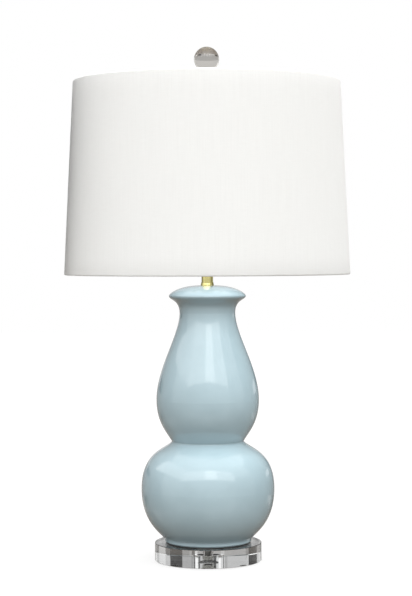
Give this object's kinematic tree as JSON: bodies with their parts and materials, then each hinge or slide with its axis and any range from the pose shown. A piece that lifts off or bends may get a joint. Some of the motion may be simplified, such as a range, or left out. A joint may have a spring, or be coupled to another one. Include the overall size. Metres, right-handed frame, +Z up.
{
  "type": "table lamp",
  "caption": "Table lamp: glazed double gourd body on a clear disc base, brass neck, switched socket with harp, tapered drum shade and crystal ball finial.",
  "frame": {"origin": "on the table under the lamp's axis, at the underside of the bumpers", "axes": "+Z up along the pipe; -Y is the front with the switch key; +Y the back with the cord outlet; +X to the right seen from the front"},
  "size_m": [0.4056, 0.4054, 0.7308],
  "materials": {
    "glaze": "gloss",
    "acrylic": "polished",
    "bumper": "matte",
    "gasket": "matte",
    "white_plastic": "matte",
    "grommet": "satin",
    "zinc": "satin",
    "brass": "polished",
    "brass_sheet": "satin",
    "card": "matte",
    "phenolic": "satin",
    "nickel": "satin",
    "key_plastic": "gloss",
    "bulb_glass": "satin",
    "bulb_insulator": "gloss",
    "linen": "matte",
    "lining": "satin",
    "wire": "satin",
    "crystal": "polished"
  },
  "bodies": {
    "stand": {"acrylic_base": "acrylic", "base_bumpers": "bumper", "foot_gasket": "gasket", "gourd_body": "glaze", "foot_bush": "white_plastic", "cord_grommet": "grommet", "lamp_pipe": "zinc", "base_washer": "zinc", "base_lock_washer": "zinc", "base_nut": "zinc", "neck_collar": "brass", "neck_tube": "brass", "harp_saddle": "brass_sheet", "socket_cap": "brass_sheet", "cap_set_screw": "zinc", "socket_shell": "brass_sheet", "shell_liner": "card", "socket_body": "phenolic", "screw_shell": "nickel", "centre_contact": "brass_sheet", "terminal_screws": "brass_sheet"},
    "switch_key": {"switch_shaft": "zinc", "switch_knob": "key_plastic"},
    "harp": {"harp_bow": "brass_sheet"},
    "ferrule_left": {"harp_ferrule_left": "brass_sheet"},
    "ferrule_right": {"harp_ferrule_right": "brass_sheet"},
    "shade_swivel": {"harp_stud": "brass_sheet"},
    "shade": {"shade_cover": "linen", "shade_liner": "lining", "shade_top_ring": "wire", "shade_bottom_ring": "wire", "spider_washer": "wire", "spider_arms": "wire"},
    "finial_thread": {"finial_insert": "zinc"},
    "finial": {"finial_base": "brass", "finial_ball": "crystal"},
    "bulb_contact": {"bulb_tip": "zinc"},
    "bulb": {"bulb_cap": "nickel", "bulb_insulator": "bulb_insulator", "bulb_glass": "bulb_glass"}
  },
  "joints": [
    {"name": "switch_turn", "type": "hinge", "parent": "stand", "child": "switch_key", "pos_m": [0, -0.0142, 0.4523], "axis": [0, -1, 0], "continuous": true},
    {"name": "harp_lift", "type": "slide", "parent": "stand", "child": "harp", "axis": [0, 0, 1], "range_m": [0, 0.15]},
    {"name": "ferrule_left_slide", "type": "slide", "parent": "harp", "child": "ferrule_left", "axis": [0, 0, 1], "range_m": [0, 0.015]},
    {"name": "ferrule_right_slide", "type": "slide", "parent": "harp", "child": "ferrule_right", "axis": [0, 0, 1], "range_m": [0, 0.015]},
    {"name": "shade_turn", "type": "hinge", "parent": "harp", "child": "shade_swivel", "pos_m": [0, 0, 0.6681], "axis": [0, 0, 1], "continuous": true},
    {"name": "shade_lift", "type": "slide", "parent": "shade_swivel", "child": "shade", "axis": [0, 0, 1], "range_m": [0, 0.28]},
    {"name": "finial_rise", "type": "slide", "parent": "shade", "child": "finial_thread", "axis": [0, 0, 1], "range_m": [0, 0.00866]},
    {"name": "finial_turn", "type": "hinge", "parent": "finial_thread", "child": "finial", "pos_m": [0, 0, 0.6694], "axis": [0, 0, 1], "range_deg": [0, 3240]},
    {"name": "bulb_rise", "type": "slide", "parent": "stand", "child": "bulb_contact", "axis": [0, 0, 1], "range_m": [0, 0.02016]},
    {"name": "bulb_turn", "type": "hinge", "parent": "bulb_contact", "child": "bulb", "pos_m": [0, 0, 0.4565], "axis": [0, 0, 1], "range_deg": [0, 1980]}
  ],
  "couplings": [
    {"joint": "finial_rise", "follows": "finial_turn", "m_per_rad": 0.00014961},
    {"joint": "bulb_rise", "follows": "bulb_turn", "m_per_rad": 0.00057757}
  ]
}
